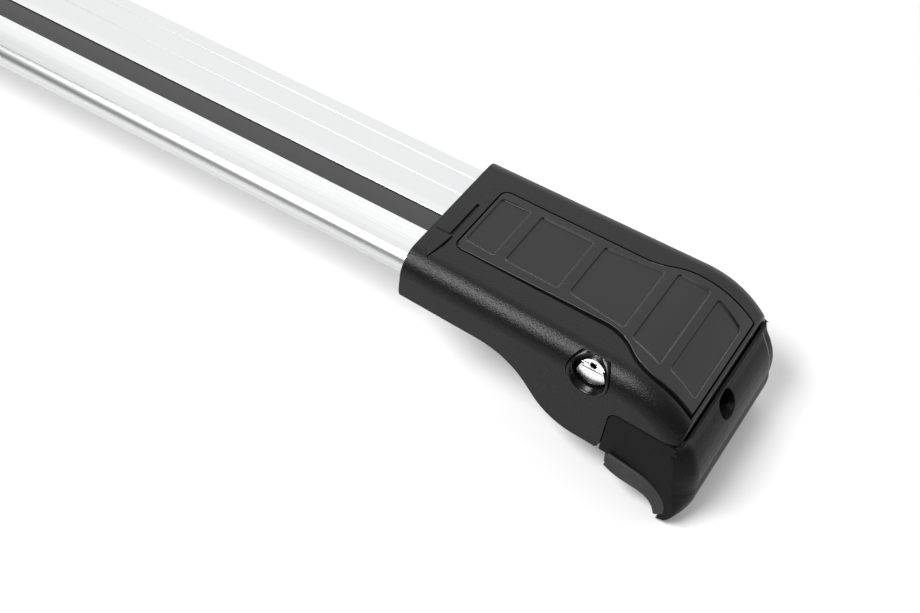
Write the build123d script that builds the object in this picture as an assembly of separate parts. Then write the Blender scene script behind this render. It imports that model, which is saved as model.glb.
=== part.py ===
from build123d import *
import math
import os

# A pair of roof cross bars. Each bar is an extruded aluminium wing with a rubber strip in its
# T slot and a moulded foot at both ends, and each foot clamps the outer side of a roof rail.
# A foot is drawn once, with x outward from its inner end, y to the rear of the car and z = 0
# at the top of the bar, and is then placed four times. All sizes are in millimetres.

# The pair as it stands
bare_length = 780.0        # bar seen between its two feet
pair_pitch = 360.0         # centre to centre of the two bars
stand_height = 73.0        # top of the bar above the ground

# Bar extrusion
bar_chord = 74.0           # leading edge to trailing edge
bar_depth = 19.5
bar_wall = 1.8
nose_drop = 7.8            # leading edge below the top
nose_turn_from_tail = 66.5 # where the nose runs into the underside
nose_depth = 15.6
shoulder_drop = 1.8        # where the top runs into the nose
tail_drop = 1.2            # upper corner of the trailing edge
tail_thickness = 2.2
crown_from_tail = 49.0     # deepest point of the underside, from the trailing edge
web_from_tail = 24.0       # rib across the rear hollow
groove_width = 1.2
groove_depth = 0.35
groove_from_tail = (8.7, 22.4, 61.8)
step_from_tail = 69.6      # wider groove before the nose
step_width = 1.6

# T slot and its strip
slot_from_tail = 39.8
slot_mouth = 13.2
slot_lip = 2.2
slot_channel_width = 20.0
slot_channel_height = 8.0
strip_play = 0.25          # strip to each side of the mouth
strip_flange = 2.0         # flange under each lip
strip_flange_thickness = 1.4
strip_wall = 1.6
strip_dome = 0.5

# Foot housing
foot_length = 150.8        # inner end to outer end face
foot_top = 2.5             # above the top of the bar
foot_inner_drop = 24.3     # underside at the inner end
near_half = 40.5           # leading side at the inner end
far_half = 46.7            # trailing side at the inner end
near_flare = 6.4           # how much further out the leading side is at the outer end
far_flare = 1.6
side_draft = 1.0           # lean of both sides in degrees, outward going down
near_shoulder = 12.0       # radius along the leading top edge
far_shoulder = 9.0
lower_edge = 3.0           # bevel along the lower edges
mouth_corner = 6.0         # radius under the inner end
end_drop_start = foot_length - 33.8  # where the top starts to fall to the outer end
end_drop_radius = 47.0
belly_start = 45.0         # where the underside starts to fall to the lobe
belly_end = foot_length - 48.8
lobe_drop = 50.0
lobe_end = foot_length - 37.4
socket_depth = foot_length - 58.8  # how far the bar goes in
socket_play = 0.2

# Ribbed underside
pocket_wall = 3.0
pocket_rib = 2.0
pocket_start = 62.0
pocket_columns = 2
pocket_rows = 3
pocket_roof = 26.0         # below the top of the bar

# Top cover
cover_inner = 15.5
cover_outer = foot_length - 1.8
cover_near = 18.9          # leading edge of the narrow part
cover_far = 27.6
cover_near_wide = 33.6
cover_far_wide = 33.2
cover_near_s = (foot_length - 55.8, foot_length - 19.8)
cover_far_s = (foot_length - 58.8, foot_length - 32.8)
cover_corner = 4.0
cover_thickness = 2.0
cover_proud = 0.2
cover_gap = 0.7
cover_near_gap = 2.4       # gap on the leading side, beyond the narrow inner end
pad_depth = 0.7
pad_corner = 0.9
pad_x = ((17.7, 33.2), (39.4, 67.7), (73.7, foot_length - 46.8),
         (foot_length - 40.8, foot_length - 24.0), (foot_length - 19.2, foot_length - 4.4))
pad_near_borders = ((6.8, 5.6), (6.2, 5.4), (6.2, 4.2), (4.3, 7.2), (9.2, 7.1))
pad_far_borders = ((5.6, 4.8), (4.9, 4.8), (4.7, 4.5), (3.4, 5.0), (6.3, 9.8))

# Label tab at the inner end, left bare, with a low wing that runs to the leading shoulder
tab_x = (2.0, 9.7)
tab_y = (-14.0, 11.6)
tab_height = 0.6
tab_slit = 1.3
tab_depth = 1.1            # slit and notch, below the foot's top
wing_height = 0.3
wing_side = (5.7, -28.3)   # where the wing's inner side ends
wing_waist = (10.2, -23.0)
wing_tip = (8.9, -32.4)
wing_start = 11.1          # outer corner beside the tab

# Lock
lock_x = foot_length - 49.2
lock_drop = 7.0            # axis below the top of the bar
lock_face = 40.5           # front of the plug, from the middle of the bar
lock_face_radius = 8.2
lock_face_thickness = 2.4
lock_face_top = 2.2        # flat top of the face, above the axis
lock_face_top_half = 5.6
lock_face_turn = 3.4       # where the round of the face starts, below the axis
lock_barrel_radius = 6.0
lock_back = 18.2           # back of the barrel, from the middle of the bar
lock_play = 0.06           # barrel in its bore
lock_face_gap = 0.3        # plug's face to the floor of its well
well_radius = 11.0
key_length = 10.5
key_width = 2.2
key_bulge = 3.0            # wider place over the middle of the keyway
key_depth = 7.0
cam_thickness = 1.8
cam_reach = 6.2
cam_width = 2.8
cam_gap = 0.3
catch_thickness = 1.6
catch_drop = 2.6           # lower end of the cover's catch below the top of the bar

# Clamp jaw
arm_inner_half = 42.3      # inner faces of the side arms
arm_top = 20.3             # arms' upper edge below the top of the bar
arm_inner = foot_length - 34.5  # arms' inner edge
arm_corner = 4.5
arm_lean = 0.9             # how much the arms' inner edge leans
seam = 0.35                # gap round the arms
jaw_back = foot_length + 1.7  # inner face of the outer wall
jaw_top = 17.9
jaw_lip = 1.6              # width and fall of the edge beside the housing
jaw_lip_fall = 2.6
jaw_bulge = (foot_length + 7.5, 34.5)  # a point on the outer face: x, below the top of the bar
jaw_widest = foot_length + 11.4
jaw_widest_height = 23.5   # above the ground
jaw_web_top = 44.3
jaw_seat = 47.2            # pad's seat under the web
jaw_seat_turn = foot_length - 17.8
jaw_seat_end = foot_length + 0.4
jaw_seat_end_height = 13.0 # above the ground
jaw_tip = (foot_length - 0.6, foot_length + 2.6)  # flat on the ground, from x to x
jaw_tip_rise = 2.6
jaw_edge = 3.2             # bevel down both edges of the outer face
jaw_play = 0.3             # jaw to the housing that it slides on

# Rubber pad in the jaw
pad_root = foot_length - 32.0
pad_root_drop = 53.8
pad_middle = (foot_length - 15.8, 55.8)
pad_turn = foot_length - 2.2
pad_turn_height = 12.4     # above the ground
pad_skin = 1.8             # thickness on the hook
rubber_near = 46.2         # half width where it meets the jaw, on the leading side
rubber_far = 49.0
rubber_flare = 3.2         # how much further its edge stands out
rubber_flare_drop = 54.4
rubber_groove = 1.1
rubber_groove_x = (foot_length - 28.8, foot_length - 6.8)
rubber_grooves = 8

# Clamp bolt, M6, and what it pulls on
bolt_y = -4.0
bolt_drop = 27.0
bolt_radius = 2.95
nut_bore_radius = 3.0
bolt_head_radius = 5.0
bolt_head_length = 6.0
bolt_key = 5.0
bolt_key_depth = 3.2
bolt_seat = foot_length - 6.8  # where the head bears in the jaw's boss
bolt_tip = foot_length - 38.8
bolt_hole_play = 0.4
key_hole_radius = 6.8
boss_half = 8.6            # half the width of the square boss
boss_wall = 4.0
nut_side = 13.0
nut_thickness = 10.0
nut_outer = foot_length - 26.8
nut_play = 0.15
turn_gap = 0.1             # bolt head to its seat

tiny = 1.0                 # how far a cut runs past the face that it opens
far_away = 400.0


def slab(face, y_low, y_high):
    """A side outline, drawn as x and z, made solid from y_low to y_high."""
    return extrude(Plane.XZ.offset(-y_high) * face, amount=y_high - y_low)


def column(face, z_low, z_high):
    """A plan outline, drawn as x and y, made solid from z_low to z_high."""
    return extrude(Pos(0, 0, z_low) * face, amount=z_high - z_low)


def run(face, x_low, x_high):
    """A cross section, drawn as y and z, made solid from x_low to x_high."""
    return extrude(Plane.YZ.offset(x_low) * face, amount=x_high - x_low)


def polygon(*points):
    return make_face(Polyline(*points, close=True))


def block(x_low, x_high, y_low, y_high, z_low, z_high):
    size = (x_high - x_low, y_high - y_low, z_high - z_low)
    middle = ((x_low + x_high) / 2, (y_low + y_high) / 2, (z_low + z_high) / 2)
    return Pos(*middle) * Box(*size)


def rod_x(radius, x_low, x_high, y, z):
    return Pos(x_low, y, z) * Rot(0, 90, 0) * Cylinder(
        radius, x_high - x_low, align=(Align.CENTER, Align.CENTER, Align.MIN))


def rod_y(radius, y_low, y_high, x, z):
    return Pos(x, y_high, z) * Rot(90, 0, 0) * Cylinder(
        radius, y_high - y_low, align=(Align.CENTER, Align.CENTER, Align.MIN))


def from_tail(distance):
    return bar_chord / 2 - distance


def top_at(y):
    """Height of the bar's top: flat to the T slot's rear lip, then falling to the tail."""
    rise = max(0.0, (y - from_tail(slot_from_tail)) / slot_from_tail)
    return -tail_drop * rise


def bar_outline():
    """Section of the bar: flat top falling to the tail, round nose and a bellied underside."""
    crest = (from_tail(step_from_tail), -shoulder_drop)
    turn = (from_tail(nose_turn_from_tail), -nose_depth)
    crown = (from_tail(crown_from_tail), -bar_depth)
    tail = bar_chord / 2
    low = (tail, -tail_drop - tail_thickness)
    slot_rear = (from_tail(slot_from_tail), 0)
    slot_front = (from_tail(slot_from_tail + slot_mouth), 0)
    return make_face([TangentArc(slot_front, crest, tangent=(-1, 0)),
                      ThreePointArc(crest, (-bar_chord / 2, -nose_drop), turn),
                      TangentArc(crown, turn, tangent=(-1, 0)),
                      TangentArc(crown, low, tangent=(1, 0)),
                      Line(low, (tail, -tail_drop)), Line((tail, -tail_drop), slot_rear),
                      Line(slot_rear, slot_front)])


def grooves():
    cuts = []
    for distance in groove_from_tail:
        y = from_tail(distance)
        cuts.append(Pos(y, top_at(y)) * Rectangle(groove_width, 2 * groove_depth))
    y = from_tail(step_from_tail + step_width / 2)
    cuts.append(Pos(y, -shoulder_drop) * Rectangle(step_width, 2 * groove_depth))
    return cuts


def bar_section():
    outline = bar_outline()
    slot_middle = from_tail(slot_from_tail + slot_mouth / 2)
    channel_low = -slot_lip - slot_channel_height
    surround = Pos(slot_middle, channel_low / 2) * Rectangle(
        slot_channel_width + 2 * bar_wall, -channel_low + 2 * bar_wall)
    rib = Pos(from_tail(web_from_tail), -bar_depth / 2) * Rectangle(bar_wall, 2 * bar_depth)
    hollow = offset(outline, -bar_wall) - surround - rib
    section = outline - hollow
    section -= Pos(slot_middle, 0) * Rectangle(slot_mouth, 2 * slot_lip + tiny)
    section -= Pos(slot_middle, channel_low + slot_channel_height / 2) * Rectangle(
        slot_channel_width, slot_channel_height)
    for cut in grooves():
        section -= cut
    return section


def bar_profile():
    """One bar, reaching into the socket of each foot."""
    reach = bare_length / 2 + socket_depth
    return run(bar_section(), -reach, reach)


def slot_strip():
    """Rubber strip: a lightly domed top in the mouth, two legs and a flange under each lip."""
    middle = from_tail(slot_from_tail + slot_mouth / 2)
    half = slot_mouth / 2 - strip_play
    crown = ThreePointArc((half, -strip_dome), (0, 0), (-half, -strip_dome))
    low = -slot_lip
    outer = low - strip_flange_thickness
    wide = half + strip_flange
    inner = half - strip_wall
    roof = -strip_dome - strip_wall
    path = Polyline((-half, -strip_dome), (-half, low), (-wide, low), (-wide, outer),
                    (-inner, outer), (-inner, roof), (inner, roof), (inner, outer),
                    (wide, outer), (wide, low), (half, low), (half, -strip_dome))
    face = Pos(middle, 0) * make_face([crown] + list(path.edges()))
    return run(face, -bare_length / 2 + seam, bare_length / 2 - seam)


def side_planes(near, far, near_out, far_out):
    """Planes of the two long sides, through the given half widths and flares."""
    lean = math.tan(math.radians(side_draft))
    near_plane = Plane(origin=(0, -near, 0), x_dir=(foot_length, -near_out, 0),
                       z_dir=Vector(near_out, foot_length, -foot_length * lean))
    far_plane = Plane(origin=(0, far, 0), x_dir=(foot_length, far_out, 0),
                      z_dir=Vector(far_out, -foot_length, -foot_length * lean))
    return near_plane, far_plane


def between_sides(solid):
    for plane in side_planes(near_half, far_half, near_flare, far_flare):
        solid = split(solid, bisect_by=plane, keep=Keep.TOP)
    return solid


def end_height(x, drop=0.0):
    """Height of the foot's top, or of a surface the given depth below it, at x."""
    radius = end_drop_radius - drop
    past = max(0.0, x - end_drop_start)
    return foot_top - end_drop_radius + math.sqrt(radius ** 2 - past ** 2)


def top_curve(x_low, x_high, drop=0.0):
    """The top of the foot between two places, flat and then falling in an arc."""
    level = foot_top - drop
    flat = Line((x_low, level), (end_drop_start, level))
    fall = TangentArc((end_drop_start, level), (x_high, end_height(x_high, drop)),
                      tangent=(1, 0))
    return [flat, fall]


def top_layer(x_low, x_high, over, under):
    """Side outline of a layer that follows the foot's top, from over it to under it."""
    above = top_curve(x_low, x_high, -over)
    below = top_curve(x_low, x_high, under)
    ends = [Line(above[0] @ 0, below[0] @ 0), Line(above[1] @ 1, below[1] @ 1)]
    return make_face(above + below + ends)


def s_curve(start, end):
    """Two equal arcs from one level line to another, level at both ends."""
    middle = ((start[0] + end[0]) / 2, (start[1] + end[1]) / 2)
    first = TangentArc(start, middle, tangent=(1, 0))
    return [first, TangentArc(middle, end, tangent=first % 1)]


def housing_side():
    """Side outline of the housing, with the belly falling to the lobe in an S curve."""
    top = top_curve(0, foot_length)
    belly = s_curve((belly_start, -foot_inner_drop), (belly_end, -lobe_drop))
    return make_face(top + belly + [
        Line(top[1] @ 1, (foot_length, -lobe_drop)),
        Line((foot_length, -lobe_drop), (belly_end, -lobe_drop)),
        Line((belly_start, -foot_inner_drop), (0, -foot_inner_drop)),
        Line((0, -foot_inner_drop), (0, foot_top))])


def below_mouth():
    """What the rounding under the inner end takes off, as a side outline."""
    low = -foot_inner_drop
    start = (mouth_corner, low)
    end = (0, low + mouth_corner)
    away = Polyline(end, (-tiny, end[1]), (-tiny, low - tiny), (mouth_corner, low - tiny), start)
    return make_face([TangentArc(start, end, tangent=(-1, 0))] + list(away.edges()))


def cover_outline(gap=0.0, near_gap=0.0):
    """Plan of the top cover: narrow, then widening on both sides in an S curve. The gap on
    the leading side grows from the gap at the inner end to the near gap."""
    start = -cover_near - gap
    near = -cover_near - near_gap
    far = cover_far + gap
    near_wide = -cover_near_wide - near_gap
    far_wide = cover_far_wide + gap
    inner = cover_inner - gap
    outer = cover_outer + gap
    near_s = s_curve((cover_near_s[0], near), (cover_near_s[1], near_wide))
    far_s = s_curve((cover_far_s[0], far), (cover_far_s[1], far_wide))
    corner = cover_corner + gap
    edges = near_s + far_s
    edges += [Line((inner + corner, start), near_s[0] @ 0),
             Line(near_s[1] @ 1, (outer, near_wide)), Line((outer, near_wide), (outer, far_wide)),
             Line((outer, far_wide), far_s[1] @ 1), Line(far_s[0] @ 0, (inner + corner, far)),
             TangentArc((inner + corner, far), (inner, far - corner), tangent=(-1, 0)),
             Line((inner, far - corner), (inner, start + corner)),
             TangentArc((inner + corner, start), (inner, start + corner), tangent=(-1, 0))]
    return make_face(edges)


def cover_edge(s_range, narrow, wide, x):
    """Half width of the cover at x, along a smooth step."""
    share = min(1.0, max(0.0, (x - s_range[0]) / (s_range[1] - s_range[0])))
    return narrow + (wide - narrow) * share * share * (3 - 2 * share)


def pad_outlines():
    """Plan of the recessed pads, each drawn from the cover's own edges and its borders."""
    pads = []
    for ends, near_borders, far_borders in zip(pad_x, pad_near_borders, pad_far_borders):
        near_side = [(x, border - cover_edge(cover_near_s, cover_near, cover_near_wide, x))
                     for x, border in zip(ends, near_borders)]
        far_side = [(x, cover_edge(cover_far_s, cover_far, cover_far_wide, x) - border)
                    for x, border in zip(ends, far_borders)]
        outline = polygon(*near_side, *reversed(far_side))
        pads.append(chamfer(outline.vertices(), pad_corner))
    return pads


def arm_outline(gap=0.0):
    """Side outline of the jaw's arms down to the lobe, with the gap added round them."""
    inner = arm_inner - gap
    top = -arm_top + gap
    foot = inner - arm_lean
    face = polygon((foot, -stand_height), (foot, -jaw_seat), (inner, top), (far_away, top),
                   (far_away, -stand_height))
    corner = [v for v in face.vertices() if abs(v.X - inner) < tiny / 2 and abs(v.Y - top) < tiny]
    return fillet(corner, arm_corner + gap)


def top_cover_shape():
    layer = slab(top_layer(0, cover_outer, cover_proud, cover_thickness - cover_proud),
                 -far_away, far_away)
    cover = layer & column(cover_outline(), -stand_height, stand_height)
    skin = slab(top_layer(0, cover_outer, cover_proud + tiny, pad_depth - cover_proud),
                -far_away, far_away)
    for pad in pad_outlines():
        cover -= skin & column(pad, -stand_height, stand_height)
    catch_outer = lock_x - cam_width / 2 - cam_gap
    return cover + block(catch_outer - catch_thickness, catch_outer,
                         -lock_back + cam_gap, -lock_back + cam_thickness + cam_gap,
                         -catch_drop, foot_top + cover_proud - cover_thickness / 2)


def label_tab():
    """The raised tab, with the wing beside it that ends in a point on the leading shoulder."""
    inner, outer = tab_x
    tab = polygon((inner, tab_y[0]), (outer, tab_y[0]), (outer, tab_y[1]), (inner, tab_y[1]))
    wing = polygon((inner, tab_y[0]), wing_side, wing_tip, wing_waist, (wing_start, tab_y[0]))
    low = foot_top - tiny
    return column(chamfer(tab.vertices(), tab_height), low, foot_top + tab_height) + column(
        wing, low, foot_top + wing_height)


def underside_pockets():
    """Pockets in the underside, with thin ribs left between them."""
    outer = lobe_end - pocket_wall
    step_x = (outer - pocket_start + pocket_rib) / pocket_columns
    width = 2 * (near_half - pocket_wall)
    step_y = (width + pocket_rib) / pocket_rows
    pockets = []
    for column_index in range(pocket_columns):
        for row in range(pocket_rows):
            x = pocket_start + column_index * step_x
            y = -width / 2 + row * step_y
            pockets.append(block(x, x + step_x - pocket_rib, y, y + step_y - pocket_rib,
                                 -stand_height, -pocket_roof))
    return pockets


def tab_notch():
    """Slit beside the tab, and the notch that runs along the wing to its point."""
    low = foot_top - tab_depth
    slit = block(tab_x[1], tab_x[1] + tab_slit, tab_y[0] + tab_slit / 2, tab_y[1],
                 low, stand_height)
    notch = polygon((wing_start, tab_y[0] - tab_slit / 2), wing_waist, wing_tip,
                    (wing_waist[0] + tab_slit, wing_waist[1]),
                    (wing_start + tab_slit / 2, tab_y[0] - tab_slit / 2))
    return slit + column(notch, low, stand_height)


def lock_hollows():
    """Everything that is hollow round the lock, its cam and the cover's catch."""
    z = -lock_drop
    well_back = -lock_face + lock_face_thickness + lock_face_gap
    cam_front = -lock_back - cam_gap
    cam_back = -lock_back + cam_thickness + 2 * cam_gap
    hollow = rod_y(well_radius, -far_away, well_back, lock_x, z)
    hollow += rod_y(lock_barrel_radius + lock_play, well_back, -lock_back + cam_gap, lock_x, z)
    swing = cam_reach + cam_gap
    room = cam_width / 2 + cam_gap
    turning = cam_width / math.sqrt(2) + cam_gap
    hollow += block(lock_x - swing, lock_x + swing, cam_front, cam_back, z - turning, z + swing)
    catch_inner = lock_x - room - cam_gap - catch_thickness
    hollow += block(catch_inner, lock_x + room, cam_front, cam_back, z, stand_height)
    return hollow


def bolt_hollows():
    """Slot for the clamp bolt, room for the jaw's boss and the slot that holds the nut. All
    three are moulded open to the underside, where the jaw's web closes them."""
    z = -bolt_drop
    room = bolt_radius + bolt_hole_play
    hollow = block(nut_outer, foot_length, bolt_y - room, bolt_y + room, -stand_height, z + room)
    room = boss_half + jaw_play
    hollow += block(bolt_seat - boss_wall - jaw_play, foot_length + tiny,
                    bolt_y - room, bolt_y + room, -stand_height, z + room)
    half = nut_side / 2 + nut_play
    hollow += block(bolt_tip - tiny, nut_outer + nut_play,
                    bolt_y - half, bolt_y + half, -stand_height, z + half)
    return hollow


def along_foot(solid):
    """Edges that run along the foot, between its two end faces."""
    return [e for e in solid.edges() if tiny < e.center().X < foot_length - tiny]


def rounded_housing():
    """The housing's outside, with its shoulders rounded and its lower edges bevelled."""
    solid = between_sides(slab(housing_side(), -far_away, far_away))
    near = [e for e in along_foot(solid) if e.center().Y < 0 and e.center().Z > -nose_drop]
    solid = fillet(near, near_shoulder)
    far = [e for e in along_foot(solid)
           if e.center().Y > far_half - tiny and e.center().Z > -nose_drop]
    solid = fillet(far, far_shoulder)
    lower = [e for e in along_foot(solid) if abs(e.center().Y) > near_half - tiny
             and e.center().Z < -foot_inner_drop + tiny]
    return chamfer(lower, lower_edge) - slab(below_mouth(), -far_away, far_away)


def housing():
    """Moulded foot body with the bar's socket, the cover's seat and the clamp's guides."""
    solid = rounded_housing()
    solid -= run(offset(bar_outline(), socket_play), -tiny, socket_depth + socket_play)
    solid -= block(lobe_end, far_away, -far_away, far_away,
                   -stand_height, -jaw_web_top + jaw_play)
    guide = arm_inner_half - jaw_play
    for y_low, y_high in ((-far_away, -guide), (guide, far_away)):
        solid -= slab(arm_outline(seam), y_low, y_high)
    seat = slab(top_layer(0, cover_outer + cover_gap, stand_height / 4,
                          cover_thickness - cover_proud), -far_away, far_away)
    solid -= seat & column(cover_outline(cover_gap, cover_near_gap), -stand_height, stand_height)
    for hollow in underside_pockets():
        solid -= hollow
    solid -= lock_hollows()
    solid -= bolt_hollows()
    return solid + label_tab() - tab_notch()


def jaw_side():
    """Side outline of the jaw: arm, outer face, hook and the seat of its rubber pad."""
    lip = (jaw_back + jaw_lip, -jaw_top - jaw_lip_fall)
    widest = (jaw_widest, jaw_widest_height - stand_height)
    face = ThreePointArc(lip, (jaw_bulge[0], -jaw_bulge[1]), widest)
    hook = TangentArc(widest, (jaw_tip[1], -stand_height), tangent=face % 1)
    seat_end = (jaw_seat_end, jaw_seat_end_height - stand_height)
    tip_top = (jaw_seat_end, -stand_height + jaw_tip_rise)
    foot = arm_inner - arm_lean
    seat = TangentArc((jaw_seat_turn, -jaw_seat), seat_end, tangent=(1, 0))
    path = [Line((jaw_back, -arm_top), (jaw_back, -jaw_top)), Line((jaw_back, -jaw_top), lip),
            face, hook, Line((jaw_tip[1], -stand_height), (jaw_tip[0], -stand_height)),
            Line((jaw_tip[0], -stand_height), tip_top), Line(tip_top, seat_end), seat,
            Line((jaw_seat_turn, -jaw_seat), (foot, -jaw_seat)),
            Line((foot, -jaw_seat), (arm_inner, -arm_top)),
            Line((arm_inner, -arm_top), (jaw_back, -arm_top))]
    face = make_face(path)
    corner = [v for v in face.vertices() if abs(v.X - arm_inner) + abs(v.Y + arm_top) < tiny / 2]
    return fillet(corner, arm_corner)


def clamp_jaw():
    """Moulded jaw: two side arms, a web over the rail, the outer wall with its hook and a
    square boss that takes the bolt's head."""
    jaw = between_sides(slab(jaw_side(), -far_away, far_away))
    outer = [e for e in jaw.edges() if abs(e.center().Y) > arm_inner_half
             and e.center().X > jaw_back + jaw_lip and e.length > jaw_edge]
    jaw = chamfer(outer, jaw_edge)
    jaw -= block(0, jaw_back, -arm_inner_half, arm_inner_half, -jaw_web_top, 0)
    z = -bolt_drop
    jaw += block(bolt_seat - boss_wall, jaw_back + tiny / 2, bolt_y - boss_half,
                 bolt_y + boss_half, -jaw_web_top - tiny, z + boss_half)
    jaw -= rod_x(key_hole_radius, bolt_seat, far_away, bolt_y, z)
    jaw -= rod_x(bolt_radius + bolt_hole_play, bolt_seat - 2 * boss_wall, far_away, bolt_y, z)
    return jaw


def rail_pad():
    """Rubber lining of the jaw, thick under the web and thin on the hook, with cross grooves
    that grip the rail and edges that stand out on both sides."""
    skin = jaw_seat_end - pad_skin
    seat_end = (jaw_seat_end, jaw_seat_end_height - stand_height)
    low = -stand_height + jaw_tip_rise
    root = (pad_root + tiny / 2, -pad_root_drop)
    turn = (pad_turn, pad_turn_height - stand_height)
    seat = TangentArc((jaw_seat_turn, -jaw_seat), seat_end, tangent=(1, 0))
    grip = Spline(root, (pad_middle[0], -pad_middle[1]), turn, tangents=[(1, 0), (1, -0.9)])
    bend = TangentArc(turn, (skin, turn[1] - 2 * pad_skin), tangent=grip % 1)
    path = [Line((pad_root, -jaw_seat), (jaw_seat_turn, -jaw_seat)), seat,
            Line(seat_end, (jaw_seat_end, low)), Line((jaw_seat_end, low), (skin, low)),
            Line((skin, low), bend @ 1), bend, grip, Line(root, (pad_root, -jaw_seat))]
    pad = slab(make_face(path), -far_away, far_away)
    near = -rubber_near - rubber_flare
    far = rubber_far + rubber_flare
    edge = polygon((-rubber_near, 0), (-rubber_near, -jaw_seat), (near, -rubber_flare_drop),
                   (near, -stand_height), (far, -stand_height), (far, -rubber_flare_drop),
                   (rubber_far, -jaw_seat), (rubber_far, 0))
    pad = pad & run(edge, 0, far_away)
    step = (rubber_groove_x[1] - rubber_groove_x[0]) / (rubber_grooves - 1)
    for index in range(rubber_grooves):
        x = rubber_groove_x[0] + index * step
        share = (x - root[0]) / (turn[0] - root[0])
        at = grip @ share
        half = rubber_groove / 2
        notch = polygon((at.X - half, at.Y - rubber_groove), (at.X, at.Y + half),
                        (at.X + half, at.Y - rubber_groove))
        pad -= slab(notch, -far_away, far_away)
    return pad


def hexagon_x(across, x_low, x_high, y, z):
    flats = Plane.YZ.offset(x_low) * Pos(y, z) * RegularPolygon(across / 2, 6, major_radius=False)
    return extrude(flats, amount=x_high - x_low)


def clamp_bolt():
    """Hexagon socket bolt that draws the jaw in."""
    z = -bolt_drop
    head = bolt_seat + turn_gap
    bolt = rod_x(bolt_head_radius, head, head + bolt_head_length, bolt_y, z)
    bolt += rod_x(bolt_radius, bolt_tip, head + tiny, bolt_y, z)
    top = head + bolt_head_length
    return bolt - hexagon_x(bolt_key, top - bolt_key_depth, top + tiny, bolt_y, z)


def clamp_nut():
    z = -bolt_drop
    half = nut_side / 2
    nut = block(nut_outer - nut_thickness, nut_outer, bolt_y - half, bolt_y + half,
                z - half, z + half)
    return nut - rod_x(nut_bore_radius, bolt_tip, foot_length, bolt_y, z)


def lock_face_outline():
    """Face of the lock, drawn as x and z: round below, with a flat top and sloping sides."""
    z = -lock_drop
    side = math.sqrt(lock_face_radius ** 2 - lock_face_turn ** 2)
    left = (lock_x - side, z - lock_face_turn)
    right = (lock_x + side, z - lock_face_turn)
    top_left = (lock_x - lock_face_top_half, z + lock_face_top)
    top_right = (lock_x + lock_face_top_half, z + lock_face_top)
    return make_face([ThreePointArc(left, (lock_x, z - lock_face_radius), right),
                      Line(right, top_right), Line(top_right, top_left),
                      Line(top_left, left)])


def lock_plug():
    """Plated plug: a wide face, a barrel behind it and the keyway."""
    z = -lock_drop
    front = -lock_face
    plug = slab(lock_face_outline(), front, front + lock_face_thickness)
    plug += rod_y(lock_barrel_radius, front + lock_face_thickness / 2, -lock_back, lock_x, z)
    for length, width in ((key_length, key_width), (key_bulge, key_width + key_bulge)):
        plug -= block(lock_x - length / 2, lock_x + length / 2, front - tiny,
                      front + key_depth, z - key_width / 2, z - key_width / 2 + width)
    return plug


def lock_cam():
    """Steel cam riveted to the back of the barrel, its finger up behind the cover's catch."""
    z = -lock_drop
    half = cam_width / 2
    return block(lock_x - half, lock_x + half, -lock_back, -lock_back + cam_thickness,
                 z - half, z + cam_reach)


foot_pieces = {
    "foot_housing": housing(),
    "top_cover": top_cover_shape(),
    "lock_plug": lock_plug(),
    "lock_cam": lock_cam(),
    "clamp_jaw": clamp_jaw(),
    "rail_pad": rail_pad(),
    "clamp_bolt": clamp_bolt(),
    "clamp_nut": clamp_nut(),
}
bar_pieces = {"bar": bar_profile(), "slot_strip": slot_strip()}

os.makedirs("parts", exist_ok=True)
for bar_name, bar_side in (("front", -1), ("rear", 1)):
    bar_place = Pos(0, bar_side * pair_pitch / 2, stand_height)
    for piece_name, piece in bar_pieces.items():
        export_step(bar_place * piece, f"parts/{bar_name}_{piece_name}.step")
    for foot_name, mirrored in (("left", False), ("right", True)):
        for piece_name, piece in foot_pieces.items():
            placed = Pos(bare_length / 2, 0, 0) * piece
            if mirrored:
                placed = mirror(placed, about=Plane.YZ)
            export_step(bar_place * placed, f"parts/{bar_name}_{foot_name}_{piece_name}.step")
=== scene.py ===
import math

import bpy
from mathutils import Matrix, Vector


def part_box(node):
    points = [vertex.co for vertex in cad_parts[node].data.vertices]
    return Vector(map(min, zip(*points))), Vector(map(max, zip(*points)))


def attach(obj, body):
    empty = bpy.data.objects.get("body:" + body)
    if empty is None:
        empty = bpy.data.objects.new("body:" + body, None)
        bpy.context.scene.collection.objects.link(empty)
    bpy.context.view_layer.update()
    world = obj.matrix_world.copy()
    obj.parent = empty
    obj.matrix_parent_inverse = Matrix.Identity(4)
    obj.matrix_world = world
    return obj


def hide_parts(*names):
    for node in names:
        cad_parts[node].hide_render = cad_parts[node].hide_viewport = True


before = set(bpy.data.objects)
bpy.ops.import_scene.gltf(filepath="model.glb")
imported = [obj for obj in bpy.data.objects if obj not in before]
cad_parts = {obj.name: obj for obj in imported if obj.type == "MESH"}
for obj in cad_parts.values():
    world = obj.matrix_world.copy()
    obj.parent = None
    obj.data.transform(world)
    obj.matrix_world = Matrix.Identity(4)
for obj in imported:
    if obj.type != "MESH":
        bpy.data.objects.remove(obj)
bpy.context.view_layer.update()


# The bars: two extruded aluminium wings, sawn to length and anodised to a satin silver.
# Extruding leaves faint straight lines along them, and the anodising a fine even tooth.
# Towards the leading side the lines are coloured lighter, as a painted sheen.

BARS = ("front", "rear")
MM = 0.001
BAR_SILVER = (0.48, 0.483, 0.486, 1)
BAR_PAINTED_SHEEN = (0.66, 0.664, 0.668, 1)
BAR_ROUGHNESS = 0.28
BAR_EDGE = 0.06 * MM
PAIR_HALF = 180 * MM
PAINTED_SHEEN_FROM = 3 * MM
PAINTED_SHEEN_TO = -6 * MM
GROOVES = (28.3, 14.6, -24.8)
GROOVE_HALF = 0.7
GROOVE_DEPTH = (0.3, 0.4)
GROOVE_FILL = 0.22
TOP_FALLS_FROM = -2.8
TOP_FALL = 1.2
TOP_FALL_LENGTH = 39.8
MERGE_WITHIN = 0.002 * MM
FLAT_WITHIN = math.radians(1)
SHARP_ABOVE = math.radians(32)


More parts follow.
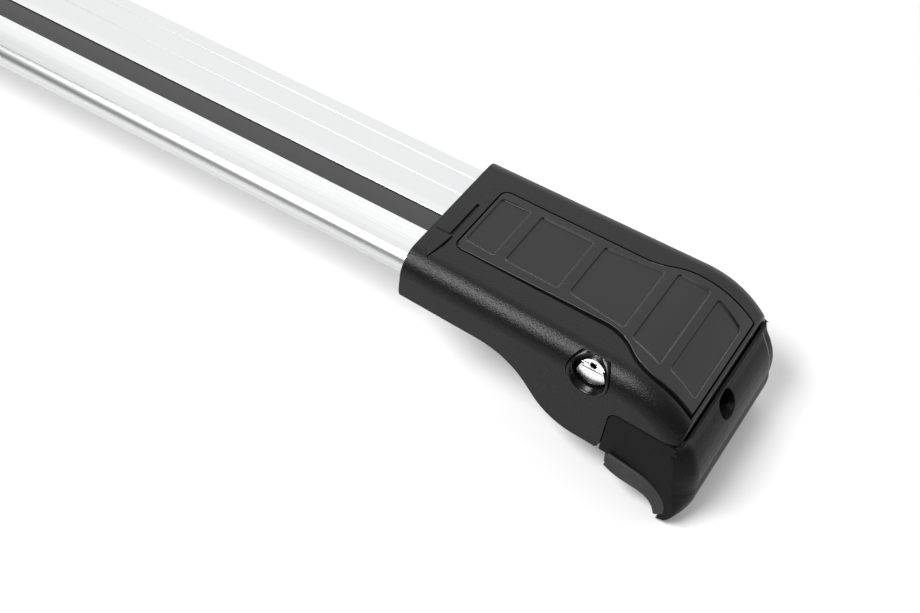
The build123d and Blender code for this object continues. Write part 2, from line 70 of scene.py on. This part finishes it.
class Shader:
    """A socket in a material's nodes. Sums, differences and products add Math nodes."""

    def __init__(self, tree, socket):
        self.tree = tree
        self.socket = socket

    def feed(self, target):
        self.tree.links.new(self.socket, target)

    def node(self, kind, settings=None, sockets=None, out=0):
        """Adds any node: its type, its settings, and the values or links of its sockets."""
        made = self.tree.nodes.new("ShaderNode" + kind)
        for name, value in (settings or {}).items():
            setattr(made, name, value)
        for name, value in (sockets or {}).items():
            if isinstance(value, Shader):
                value.feed(made.inputs[name])
            else:
                made.inputs[name].default_value = value
        return Shader(self.tree, made.outputs[out])

    def maths(self, operation, *values):
        return self.node("Math", {"operation": operation}, dict(enumerate(values)))

    def __add__(self, other):
        return self.maths("ADD", self, other)

    def __sub__(self, other):
        return self.maths("SUBTRACT", self, other)

    def __mul__(self, other):
        return self.maths("MULTIPLY", self, other)


def finish_of(name, **constants):
    """A new material with a principled shader, and a Shader on its object coordinates."""
    material = bpy.data.materials.new(name)
    material.use_nodes = True
    tree = material.node_tree
    shader = tree.nodes["Principled BSDF"]
    for socket, value in constants.items():
        shader.inputs[socket.replace("_", " ")].default_value = value
    place = Shader(tree, None).node("TexCoord", out="Object")
    return material, shader.inputs, place


def speckle(place, per_metre, detail=1.0):
    """Even fine noise, as on moulded or blasted surfaces."""
    return place.node("TexNoise", {}, {"Vector": place, "Scale": per_metre, "Detail": detail})


def streaks(place, along, across, detail=2.0):
    """Noise drawn out along the bars, as extruding leaves it."""
    stretch = (along, across, across)
    drawn = place.node("Mapping", {}, {"Vector": place, "Scale": stretch})
    return speckle(drawn, 1.0, detail)


def part_of(place, axis):
    """One coordinate of a place."""
    return place.node("SeparateXYZ", {}, {0: place}, out=axis)


def ramp(value, start, end, smooth=False):
    """A share that goes from 0 at one value to 1 at another."""
    kind = "SMOOTHSTEP" if smooth else "LINEAR"
    return value.node("MapRange", {"interpolation_type": kind}, {0: value, 1: start, 2: end})


def blend_of(share, first, second):
    """A colour between two others. Sockets 6 and 7 and output 2 are the node's colours."""
    return share.node("Mix", {"data_type": "RGBA"}, {0: share, 6: first, 7: second}, out=2)


def bump(height, depth, strength):
    return height.node("Bump", {}, {"Height": height, "Distance": depth, "Strength": strength})


def dress(piece, material):
    """Puts one material on every face of a piece."""
    piece.data.materials.clear()
    piece.data.materials.append(material)


def only(piece):
    """Makes one piece the whole selection."""
    bpy.ops.object.select_all(action="DESELECT")
    piece.select_set(True)
    bpy.context.view_layer.objects.active = piece


def merged_copy(node, name):
    """A copy of a solid, its loose triangles merged into faces."""
    piece = bpy.data.objects.new(name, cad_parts[node].data.copy())
    bpy.context.scene.collection.objects.link(piece)
    only(piece)
    bpy.ops.mesh.customdata_custom_splitnormals_clear()
    bpy.ops.object.mode_set(mode="EDIT")
    bpy.ops.mesh.select_all(action="SELECT")
    bpy.ops.mesh.remove_doubles(threshold=MERGE_WITHIN)
    bpy.ops.mesh.dissolve_limited(angle_limit=FLAT_WITHIN)
    bpy.ops.object.mode_set(mode="OBJECT")
    return piece


def round_edges(piece, radius, steps=2, leveled=True):
    """Rounds the sharp edges of a piece, and shades it smooth up to the same angle."""
    only(piece)
    edges = piece.modifiers.new("rounding", "BEVEL")
    edges.width = radius
    edges.segments = steps
    edges.angle_limit = SHARP_ABOVE
    edges.use_clamp_overlap = False
    bpy.ops.object.modifier_apply(modifier="rounding")
    bpy.ops.object.shade_smooth_by_angle(angle=SHARP_ABOVE)
    if leveled:
        level = piece.modifiers.new("level", "WEIGHTED_NORMAL")
        level.keep_sharp = True
        bpy.ops.object.modifier_apply(modifier="level")
    return piece


def rounded_copy(node, name, radius, steps=2):
    return round_edges(merged_copy(node, name), radius, steps)


anodised, sockets, place = finish_of("satin_anodised_aluminium", Metallic=1.0)
drawn_lines = streaks(place, along=3.0, across=900.0, detail=3.0)
tooth = speckle(place, per_metre=2600.0)
# Only towards each bar's leading side do the lines colour it, and lighter: a painted sheen for
# the bright bands along the nose.
sideways = part_of(place, "Y")
from_middle = sideways - sideways.maths("SIGN", sideways) * PAIR_HALF
leading = ramp(from_middle, PAINTED_SHEEN_FROM, PAINTED_SHEEN_TO)
blend_of(drawn_lines * leading, BAR_SILVER, BAR_PAINTED_SHEEN).feed(sockets["Base Color"])
(drawn_lines * 0.08 + tooth * 0.05 + BAR_ROUGHNESS).feed(sockets["Roughness"])
relief = drawn_lines * 0.5 + tooth * 0.5
bump(relief, depth=0.03 * MM, strength=0.5).feed(sockets["Normal"])

# The floors of the three fine grooves in the top come up, so that they show as faint lines.
# The top falls a little from near its middle to the trailing edge.
for bar in BARS:
    wing = merged_copy(f"{bar}_bar", f"{bar}_wing")
    low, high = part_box(f"{bar}_bar")
    for point in wing.data.vertices:
        across = (point.co.y - (low.y + high.y) / 2) / MM
        fall = max(0.0, across - TOP_FALLS_FROM) * TOP_FALL / TOP_FALL_LENGTH
        depth = (high.z - point.co.z) / MM - fall
        in_groove = min(abs(across - middle) for middle in GROOVES) < GROOVE_HALF
        if in_groove and GROOVE_DEPTH[0] < depth < GROOVE_DEPTH[1]:
            point.co.z += GROOVE_FILL * MM
    round_edges(wing, BAR_EDGE, steps=1, leveled=False)
    dress(wing, anodised)
    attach(wing, "root")
    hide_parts(f"{bar}_bar")


# The slot strips: soft black rubber, extruded with two legs and pressed into the T slot,
# with a lightly domed top that stands just level with the aluminium.

STRIP_EDGE = 0.35 * MM
RUBBER_BLACK = (0.013, 0.013, 0.013, 1)
RUBBER_BLOOM = (0.024, 0.024, 0.025, 1)

rubber, sockets, place = finish_of("black_rubber", Specular_IOR_Level=0.4)
bloom = speckle(place, per_metre=160.0, detail=4.0)
grain = speckle(place, per_metre=3200.0)
blend_of(bloom, RUBBER_BLACK, RUBBER_BLOOM).feed(sockets["Base Color"])
(bloom * 0.15 + 0.50).feed(sockets["Roughness"])
bump(grain, depth=0.04 * MM, strength=0.4).feed(sockets["Normal"])

for bar in BARS:
    strip = rounded_copy(f"{bar}_slot_strip", f"{bar}_strip", STRIP_EDGE)
    dress(strip, rubber)
    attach(strip, "root")
    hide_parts(f"{bar}_slot_strip")


# The foot housings: glass-filled nylon, injection moulded with a fine grain on the outside.
# The socket for the bar, the seat of the cover and the well of the lock are part of it.

SIDES = ("left", "right")
FEET = [f"{bar}_{side}" for bar in BARS for side in SIDES]
MOULD_EDGE = 0.25 * MM
NYLON_BLACK = (0.0025, 0.0025, 0.0027, 1)
NYLON_DUSTY = (0.0045, 0.0045, 0.0048, 1)

FOOT_LENGTH = 150.8
LEADING_SIDE = -40.5
LEADING_SPREAD = -6.4
TRAILING_SIDE = 46.7
TRAILING_SPREAD = 1.6
SIDE_DRAFT = 0.01746
SHOULDER = 12.0
SHOULDER_FROM = -9.5
SHOULDER_REACH = 11.9

bar_low, bar_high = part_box("rear_bar")
foot_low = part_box("rear_left_foot_housing")[0]
FOOT = Vector((foot_low.x, (bar_low.y + bar_high.y) / 2, bar_high.z))
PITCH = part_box("rear_bar")[0].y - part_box("front_bar")[0].y


def at(x, y, z):
    """A place on the rear left foot, in millimetres from the middle of the bar's top there."""
    return FOOT + Vector((x, y, z)) * MM


def fit_to_feet(piece, part, body, node=None):
    """Copies a piece made on the rear left foot to all four. The right feet are mirrored."""
    for foot in FEET:
        copy = piece
        if foot != "rear_left":
            copy = piece.copy()
            copy.data = piece.data.copy()
            bpy.context.scene.collection.objects.link(copy)
        if foot.endswith("right"):
            copy.data.transform(Matrix.Scale(-1, 4, Vector((1, 0, 0))))
            copy.data.flip_normals()
        if foot.startswith("front"):
            copy.data.transform(Matrix.Translation((0, -PITCH, 0)))
        copy.name = f"{foot}_{part}"
        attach(copy, body if body == "root" else f"{foot}_{body}")
        if node:
            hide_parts(f"{foot}_{node}")


def leading_side(x, z):
    """The drafted leading side of a foot, which spreads towards the jaw."""
    return LEADING_SIDE + LEADING_SPREAD * x / FOOT_LENGTH + SIDE_DRAFT * z


def trailing_side(x, z):
    return TRAILING_SIDE + TRAILING_SPREAD * x / FOOT_LENGTH - SIDE_DRAFT * z


def shouldered_side(x, z):
    """The leading side with the round shoulder above it."""
    above = min(max(z - SHOULDER_FROM, 0.0), SHOULDER_REACH)
    return leading_side(x, z) + SHOULDER - math.sqrt(SHOULDER ** 2 - above ** 2)


moulded, sockets, place = finish_of("grained_black_nylon", Specular_IOR_Level=0.2)
grain = speckle(place, per_metre=1500.0, detail=2.0)
dust = speckle(place, per_metre=45.0, detail=5.0)
blend_of(dust, NYLON_BLACK, NYLON_DUSTY).feed(sockets["Base Color"])
(dust * 0.08 + 0.32).feed(sockets["Roughness"])
bump(grain, depth=0.20 * MM, strength=1.0).feed(sockets["Normal"])

shell = rounded_copy("rear_left_foot_housing", "shell", MOULD_EDGE)
dress(shell, moulded)
fit_to_feet(shell, "housing_shell", "root", "foot_housing")


# The top covers: a smoother moulding than the housing, snapped over it and held by the lock.
# Five shallow pads are sunk in each, with small radii round them.

COVER_EDGE = 0.6 * MM
SATIN_BLACK = (0.003, 0.003, 0.0032, 1)
SATIN_WORN = (0.005, 0.005, 0.0053, 1)
PAINTED_HIGHLIGHT_DIM = (0.03, 0.03, 0.031, 1)
PAINTED_HIGHLIGHT_FULL = (0.09, 0.09, 0.092, 1)
PADS_FROM = 17.0
PADS_SIDE = ((92.0, 26.6), (118.0, 32.0))
RIM_SLOPE = (0.4, 0.985)
RIM_LARGEST = 80 * MM * MM


def along(points, place):
    """The value at a place in a table that rises by place, on straight lines between rows."""
    for (low, first), (high, second) in zip(points, points[1:]):
        if place <= high:
            share = min(max((place - low) / (high - low), 0.0), 1.0)
            return first + (second - first) * share
    return points[-1][1]


satin, sockets, place = finish_of("satin_black_nylon", Specular_IOR_Level=0.28)
grain = speckle(place, per_metre=2600.0)
dust = speckle(place, per_metre=40.0, detail=4.0)
blend_of(dust, SATIN_BLACK, SATIN_WORN).feed(sockets["Base Color"])
(dust * 0.08 + 0.38).feed(sockets["Roughness"])
bump(grain, depth=0.04 * MM, strength=0.4).feed(sockets["Normal"])

lid = rounded_copy("rear_left_top_cover", "lid", COVER_EDGE, steps=3)
dress(lid, satin)

# The rims of the pads that face the trailing side or the bar get a lighter colour: a painted
# highlight along those edges, with a faint random mottle.
painted_edge_highlight, sockets, place = finish_of("nylon_edge_painted_highlight", Specular_IOR_Level=0.6)
highlight_mottle = speckle(place, per_metre=350.0, detail=3.0)
blend_of(highlight_mottle, PAINTED_HIGHLIGHT_DIM, PAINTED_HIGHLIGHT_FULL).feed(sockets["Base Color"])
(highlight_mottle * 0.1 + 0.40).feed(sockets["Roughness"])
lid.data.materials.append(painted_edge_highlight)
for face in lid.data.polygons:
    x, y, _ = (face.center - FOOT) / MM
    on_pads = x > PADS_FROM and y < along(PADS_SIDE, x)
    highlight_facing = face.normal.y > 0.2 or face.normal.x < -0.3
    sloped = RIM_SLOPE[0] < face.normal.z < RIM_SLOPE[1]
    if on_pads and highlight_facing and sloped and face.area < RIM_LARGEST:
        face.material_index = 1
fit_to_feet(lid, "cover_shell", "root", "top_cover")


# The locks: a die-cast plug, plated bright, in a glossy black sleeve that lines its well.
# A spring shutter closes the keyway, and a steel cam is riveted to the back of the plug.

PLUG_EDGE = 0.3 * MM
LOCK_X = 101.6
WELL_FLOOR = -37.9
SLEEVE_Z = -7.6
SLEEVE_TOP = 1.5
SLEEVE_SIDES = 56
ROUND_WITHIN = math.radians(50)
SLEEVE_RINGS = ((9.0, math.inf), (9.0, 1.0), (9.3, 0.15), (10.1, -0.25), (10.5, -0.1),
                (10.8, 1.2))
SHUTTERS = ((10.5, -7.85, -6.3), (3.0, -5.6, -4.83))
SHUTTERS_APART = 4.0
SHUTTER_Y = -40.1
SHUTTER_DEPTH = 0.7

plated, sockets, place = finish_of("bright_plating", Metallic=1.0,
                                   Base_Color=(0.86, 0.86, 0.86, 1))
haze = speckle(place, per_metre=400.0, detail=3.0)
(haze * 0.12 + 0.16).feed(sockets["Roughness"])
plug = rounded_copy("rear_left_lock_plug", "plug", PLUG_EDGE)
dress(plug, plated)
fit_to_feet(plug, "lock_face", "lock", "lock_plug")

gloss, sockets, place = finish_of("glossy_black_sleeve", Base_Color=(0.003, 0.003, 0.003, 1),
                                  Specular_IOR_Level=0.25)
haze = speckle(place, per_metre=500.0, detail=2.0)
(haze * 0.08 + 0.28).feed(sockets["Roughness"])

# The sleeve is a circle drawn out in rings. Each ring has its radius, and how far it lies
# inside the housing's side. The first one is on the floor of the well.
bpy.ops.object.select_all(action="DESELECT")
bpy.ops.mesh.primitive_circle_add(vertices=SLEEVE_SIDES, radius=1.0, location=(0, 0, 0))
sleeve = bpy.context.object
bpy.ops.object.mode_set(mode="EDIT")
bpy.ops.mesh.select_all(action="SELECT")
for ring in SLEEVE_RINGS[1:]:
    bpy.ops.mesh.extrude_region_move(TRANSFORM_OT_translate={"value": (0, 0, 1)})
bpy.ops.object.mode_set(mode="OBJECT")
for point in sleeve.data.vertices:
    radius, sunk = SLEEVE_RINGS[round(point.co.z)]
    angle = math.atan2(point.co.y, point.co.x)
    x = LOCK_X + radius * math.cos(angle)
    z = SLEEVE_Z + radius * math.sin(angle)
    y = min(shouldered_side(x, z) + sunk, WELL_FLOOR)
    point.co = at(x, y, min(z, SLEEVE_TOP))
only(sleeve)
bpy.ops.object.mode_set(mode="EDIT")
bpy.ops.mesh.select_all(action="SELECT")
bpy.ops.mesh.normals_make_consistent(inside=False)
bpy.ops.object.mode_set(mode="OBJECT")
bpy.ops.object.shade_smooth_by_angle(angle=ROUND_WITHIN)
dress(sleeve, gloss)
fit_to_feet(sleeve, "lock_sleeve", "root")

# The shutter is a wide bar over the keyway with a short one above it.
bpy.ops.object.select_all(action="DESELECT")
bpy.ops.mesh.primitive_cube_add(size=1.0, location=(0, 0, 0))
shutter = bpy.context.object
bpy.ops.object.mode_set(mode="EDIT")
bpy.ops.mesh.primitive_cube_add(size=1.0, location=(0, 0, SHUTTERS_APART))
bpy.ops.object.mode_set(mode="OBJECT")
for point in shutter.data.vertices:
    upper = point.co.z > SHUTTERS_APART / 2
    width, low, high = SHUTTERS[upper]
    x = LOCK_X + point.co.x * width
    y = SHUTTER_Y + point.co.y * SHUTTER_DEPTH
    point.co = at(x, y, high if point.co.z > SHUTTERS_APART * upper else low)
dress(shutter, plated)
fit_to_feet(shutter, "key_shutter", "lock")

zinc, sockets, place = finish_of("zinc_plated_steel", Metallic=1.0,
                                 Base_Color=(0.55, 0.55, 0.57, 1))
haze = speckle(place, per_metre=700.0, detail=3.0)
(haze * 0.2 + 0.25).feed(sockets["Roughness"])
for foot in FEET:
    dress(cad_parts[f"{foot}_lock_cam"], zinc)


# The clamp jaws: the same grained nylon as the housings, with a hook that reaches under the
# rail. The bolt's head sits at the bottom of the round key hole.

JAW_EDGE = 0.5 * MM
JAW_BACK = 152.6
FACE = ((-49.5, 162.15), (-42.0, 161.95), (-38.0, 161.4), (-33.0, 160.0), (-28.0, 157.6),
        (-24.8, 155.5), (-22.2, 153.9), (-18.4, 153.3), (-17.9, 152.6))
FACE_LEVELS = (18.4, 21.0, 22.2, 23.5, 24.8, 26.4, 28.0, 30.5, 33.0, 35.5, 38.0, 40.0, 42.0,
               43.9, 44.3, 44.7, 47.0, 49.5, 52.0, 55.0, 58.0, 61.0, 64.0)
FACE_ROWS = (-47.0, -46.0, -44.6, -43.0, -41.0, -38.5, 40.5, 40.9, 41.3, 44.5, 46.0, 47.5)
NEAR_DEPTH = ((-73.0, 2.0), (-62.0, 3.0), (-54.0, 6.8), (-44.0, 8.8), (-34.0, 9.0),
              (-24.5, 7.0), (-17.9, 4.5))
FAR_DEPTH = 3.2
NEAR_REACH = 10.0
FAR_REACH = 4.0
FACE_LOW = -49.5
FACE_LEDGE = -18.3
SAME_PLACE = 0.02
BORDER_ROW = 40.9
BORDER_LEVEL = -44.3
BORDER_START = -40.0
BORDER_TOP = -22.0
BORDER_HALF = 0.45
BORDER_DEPTH = 0.1
BOSS_MIDDLE = -4.0
BOSS_HALF = 9.0
BOSS_TOP = -19.0
BOSS_SUNK = 3.0
TOP_EDGE_FROM = 152.0
TOP_EDGE_ABOVE = -18.1
TOP_EDGE_BACK = 0.9
SHADED = (-22.4, -18.2)


def smooth_along(points, place):
    """The mean of the table near a place, which takes the corners out of it."""
    reach = (-1.5, -1.0, -0.5, 0.0, 0.5, 1.0, 1.5)
    return sum(along(points, place + step) for step in reach) / len(reach)


def rounding(gap, reach):
    """The share of its depth that an edge's rounding has at a gap from the edge."""
    return max(1.0 - max(gap, 0.0) / reach, 0.0) ** 1.6


def duller(material, name, specular):
    """A copy of a finish that shines less."""
    copy = material.copy()
    copy.name = name
    shader = copy.node_tree.nodes["Principled BSDF"]
    shader.inputs["Specular IOR Level"].default_value = specular
    return copy


jaw = merged_copy("rear_left_clamp_jaw", "jaw")
bpy.ops.object.mode_set(mode="EDIT")
for level in FACE_LEVELS:
    bpy.ops.mesh.select_all(action="SELECT")
    bpy.ops.mesh.bisect(plane_co=at(0, 0, -level), plane_no=(0, 0, 1))
for row in FACE_ROWS:
    bpy.ops.mesh.select_all(action="SELECT")
    bpy.ops.mesh.bisect(plane_co=at(0, row, 0), plane_no=(0, 1, 0))
bpy.ops.object.mode_set(mode="OBJECT")

# The outer face is moved to a fuller profile, with a broad rounding down its leading edge, a
# narrow one down its trailing edge and a fine groove along its border. Each corner of it is
# noted, with whether it is on the flat of the face, clear of the solid's own rounding.
outer = {}
for face in jaw.data.polygons:
    if face.normal.x > 0.25 and (face.center - FOOT).x / MM > JAW_BACK:
        for corner in face.vertices:
            outer[corner] = outer.get(corner, False) or abs(face.normal.y) < 0.2
old_face = {}
for corner, flat in outer.items():
    x, y, z = (jaw.data.vertices[corner].co - FOOT) / MM
    if flat:
        old_face[round(z, 2)] = x
old_face = sorted(old_face.items())
for corner in outer:
    x, y, z = (jaw.data.vertices[corner].co - FOOT) / MM
    near = y - leading_side(x, z)
    far = trailing_side(x, z) - y
    if z < FACE_LOW:
        new = along(old_face, z)
    elif z > FACE_LEDGE:
        new = along(FACE, z)
    else:
        new = smooth_along(FACE, z)
    new -= along(NEAR_DEPTH, z) * rounding(near, NEAR_REACH)
    new -= FAR_DEPTH * rounding(far, FAR_REACH)
    down = abs(y - BORDER_ROW) < SAME_PLACE and BORDER_LEVEL - 0.1 < z < BORDER_TOP
    level = abs(z - BORDER_LEVEL) < SAME_PLACE and BORDER_START < y < BORDER_ROW + 0.1
    if down or level:
        new -= BORDER_DEPTH
    if near < 0.1:
        y = leading_side(new, z)
    jaw.data.vertices[corner].co = at(new, y, z)

# The bolt's boss is lowered behind the face, and the face's top inner edge drawn back, which
# opens the dark gap between the jaw and the cover.
for point in jaw.data.vertices:
    x, y, z = (point.co - FOOT) / MM
    if x < JAW_BACK - 0.3 and abs(y - BOSS_MIDDLE) < BOSS_HALF and z > BOSS_TOP:
        point.co = at(x, y, z - BOSS_SUNK)
    elif TOP_EDGE_FROM < x < JAW_BACK + 0.05 and z > TOP_EDGE_ABOVE:
        point.co = at(x - TOP_EDGE_BACK, y, z)
round_edges(jaw, JAW_EDGE)

dress(jaw, duller(moulded, "jaw_black_nylon", 0.07))
jaw.data.materials.append(painted_edge_highlight)
# A copy of the nylon that barely shines, for the wall under the jaw's top edge: painted shade
# in the gap by the cover.
jaw.data.materials.append(duller(moulded, "jaw_nylon_in_shade", 0.03))
# The faces of the fine border groove take the lighter edge material, a painted highlight along
# the border.
for face in jaw.data.polygons:
    spots = [(jaw.data.vertices[corner].co - FOOT) / MM for corner in face.vertices]
    if min(spot.x for spot in spots) < JAW_BACK + 0.2:
        continue
    heights = [spot.z for spot in spots]
    rows = [spot.y for spot in spots]
    down = (BORDER_ROW - BORDER_HALF < min(rows) and max(rows) < BORDER_ROW + BORDER_HALF
            and BORDER_LEVEL - 0.1 < min(heights) < BORDER_TOP)
    level = (BORDER_LEVEL - BORDER_HALF < min(heights)
             and max(heights) < BORDER_LEVEL + BORDER_HALF
             and BORDER_START < min(rows) < BORDER_ROW - 0.3)
    if down or level:
        face.material_index = 1
    elif SHADED[0] < min(heights) and max(heights) < SHADED[1] and face.normal.x > 0.3:
        face.material_index = 2
fit_to_feet(jaw, "jaw_shell", "jaw", "clamp_jaw")


# The rail pads: moulded rubber that lines each jaw, grooved across where it grips the rail.
# A flared lip stands out on both sides under the jaw, with fine ribs along it.

PAD_EDGE = 0.4 * MM
PAD_SIDES = (-46.2, 48.6)
LIP_SIDES = (-47.0, 49.6)
LIP_FLARE = 1.2

pad = merged_copy("rear_left_rail_pad", "pad")
for point in pad.data.vertices:
    x, y, z = (point.co - FOOT) / MM
    point.co = at(x, min(max(y, PAD_SIDES[0]), PAD_SIDES[1]), z)
round_edges(pad, PAD_EDGE)
dress(pad, rubber)
fit_to_feet(pad, "rail_rubber", "jaw", "rail_pad")

LIP_TOP = ((120.9, -45.8), (127.0, -46.6), (134.0, -47.6), (141.0, -49.4), (147.3, -52.2),
           (151.0, -56.0), (152.9, -60.6), (153.2, -65.0))
LIP_LOW = ((120.9, -52.2), (125.5, -55.4), (131.0, -56.3), (136.1, -56.6), (140.4, -57.2),
           (144.9, -59.0), (148.2, -62.6), (149.6, -67.0))
RIBS = 5
RIB_RADIUS = 1.3


def rib(side, share):
    """One rib of a lip: a round cord, at a share of the way down from its upper edge."""
    path = bpy.data.curves.new("rib", "CURVE")
    path.dimensions = "3D"
    path.bevel_depth = RIB_RADIUS * MM
    path.bevel_resolution = 2
    path.resolution_u = 4
    path.use_fill_caps = True
    line = path.splines.new("NURBS")
    line.points.add(len(LIP_TOP) - 1)
    line.order_u = 4
    line.use_endpoint_u = True
    flare = LIP_SIDES[side > 0] + side * LIP_FLARE * share
    for point, top, low in zip(line.points, LIP_TOP, LIP_LOW):
        x = top[0] + (low[0] - top[0]) * share
        z = top[1] + (low[1] - top[1]) * share
        point.co = (*at(x, flare, z), 1)
    piece = bpy.data.objects.new("rib", path)
    bpy.context.scene.collection.objects.link(piece)
    return piece


ribs = [rib(side, (index + 0.5) / RIBS) for side in (-1, 1) for index in range(RIBS)]
bpy.ops.object.select_all(action="DESELECT")
for piece in ribs:
    piece.select_set(True)
lips = ribs[0]
bpy.context.view_layer.objects.active = lips
bpy.ops.object.convert(target="MESH")
bpy.ops.object.join()
bpy.ops.object.shade_smooth_by_angle(angle=ROUND_WITHIN)
dress(lips, rubber)
fit_to_feet(lips, "rubber_lips", "jaw")


# The clamp bolts and nuts: steel. The bolt is blackened and worn bright in places, and the
# square nut that it turns in is zinc plated.

BOLT_EDGE = 0.25 * MM
BOLT_BLACK = (0.03, 0.03, 0.03, 1)
BOLT_WORN = (0.10, 0.10, 0.105, 1)

blackened, sockets, place = finish_of("blackened_steel", Metallic=1.0)
wear = speckle(place, per_metre=500.0, detail=4.0)
blend_of(wear, BOLT_BLACK, BOLT_WORN).feed(sockets["Base Color"])
(wear * 0.2 + 0.25).feed(sockets["Roughness"])

bolt = rounded_copy("rear_left_clamp_bolt", "bolt", BOLT_EDGE)
dress(bolt, blackened)
fit_to_feet(bolt, "bolt_steel", "bolt", "clamp_bolt")
for foot in FEET:
    dress(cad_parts[f"{foot}_clamp_nut"], zinc)


# The studio: a white sweep in a room that is bright behind the bars, dimmer overhead and dark
# in front, and one soft box above. The camera stands where the photograph's did.

ROOM_BEHIND = 1.8
ROOM_OVERHEAD = 0.5
ROOM_DARK = 0.03
BEHIND_SPAN = (0.0, 0.45)
OVERHEAD_SPAN = (0.45, 0.85)
KEY_PLACE = Vector((0.08, -0.46, 1.05))
KEY_TARGET = Vector((0.42, 0.16, 0.0))
KEY_SIZE = (0.7, 0.4)
KEY_WATTS = 26
CAMERA_PLACE = Vector((0.623405, -0.269905, 0.558))
CAMERA_RIGHT = Vector((0.84729, 0.52342, 0.09015))
CAMERA_UP = Vector((-0.43964, 0.59591, 0.67202))
CAMERA_BACK = Vector((0.29802, -0.60903, 0.73503))

bpy.ops.object.select_all(action="DESELECT")
bpy.ops.mesh.primitive_plane_add(size=14.0, location=(0, 0, 0))
floor = bpy.context.object
floor.name = "floor"
paper, sockets, place = finish_of("white_sweep", Base_Color=(0.585, 0.585, 0.585, 1),
                                  Roughness=0.9, Emission_Color=(1, 1, 1, 1),
                                  Emission_Strength=0.10)
dress(floor, paper)

scene = bpy.context.scene
scene.view_settings.view_transform = "Standard"
world = bpy.data.worlds.new("studio_room")
world.use_nodes = True
room = world.node_tree.nodes["Background"].inputs
facing = Shader(world.node_tree, None).node("TexCoord", out="Generated")
overhead = ramp(part_of(facing, "Z"), *OVERHEAD_SPAN, smooth=True)
behind = ramp(part_of(facing, "Y"), *BEHIND_SPAN, smooth=True)
lit = overhead.maths("MAXIMUM", overhead * ROOM_OVERHEAD, behind * ROOM_BEHIND)
lit.maths("MAXIMUM", lit, ROOM_DARK).feed(room["Strength"])
room["Color"].default_value = (1, 1, 1, 1)
scene.world = world

light = bpy.data.lights.new("key_box", "AREA")
light.shape = "RECTANGLE"
light.size, light.size_y = KEY_SIZE
light.energy = KEY_WATTS
key = bpy.data.objects.new("key_box", light)
scene.collection.objects.link(key)
key.location = KEY_PLACE
key.rotation_euler = (KEY_TARGET - KEY_PLACE).to_track_quat("-Z", "Y").to_euler()

eye = bpy.data.cameras.new("camera")
eye.lens = 57.37
eye.sensor_width = 36.0
eye.clip_start = 0.01
camera = bpy.data.objects.new("camera", eye)
scene.collection.objects.link(camera)
turn = Matrix((CAMERA_RIGHT, CAMERA_UP, CAMERA_BACK)).transposed().to_4x4()
camera.matrix_world = Matrix.Translation(CAMERA_PLACE) @ turn
scene.camera = camera
